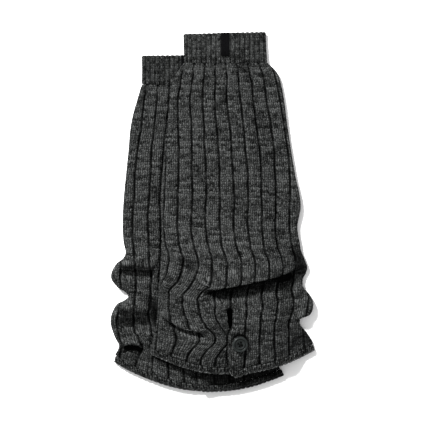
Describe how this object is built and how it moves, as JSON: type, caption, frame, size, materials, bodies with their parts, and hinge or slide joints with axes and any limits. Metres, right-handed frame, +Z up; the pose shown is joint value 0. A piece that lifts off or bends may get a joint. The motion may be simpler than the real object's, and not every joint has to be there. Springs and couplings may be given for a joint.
{
  "type": "pair of ribbed knit leg warmers laid flat",
  "caption": "Pair of chunky rib-knit leg warmers laid flat, one over the other, slouched above a slit hem with a button, with a fine-rib cuff.",
  "frame": {"origin": "middle of the pair's outline, on the surface it lies on", "axes": "+Y from the hems up to the cuffs, +X to the right across both garments seen from above, +Z up from the surface"},
  "size_m": [0.246, 0.4309, 0.0397],
  "materials": {
    "yarn": "charcoal marled wool-blend yarn, matt and slightly hairy",
    "label": "bare black woven tape",
    "button": "dark satin plastic"
  },
  "bodies": {
    "root": {"over_cuff": "yarn", "over_body": "yarn", "over_hem_edging": "yarn", "over_label": "label", "over_button": "button", "under_cuff": "yarn", "under_body": "yarn", "under_hem_edging": "yarn", "under_label": "label", "under_button": "button"}
  },
  "joints": []
}
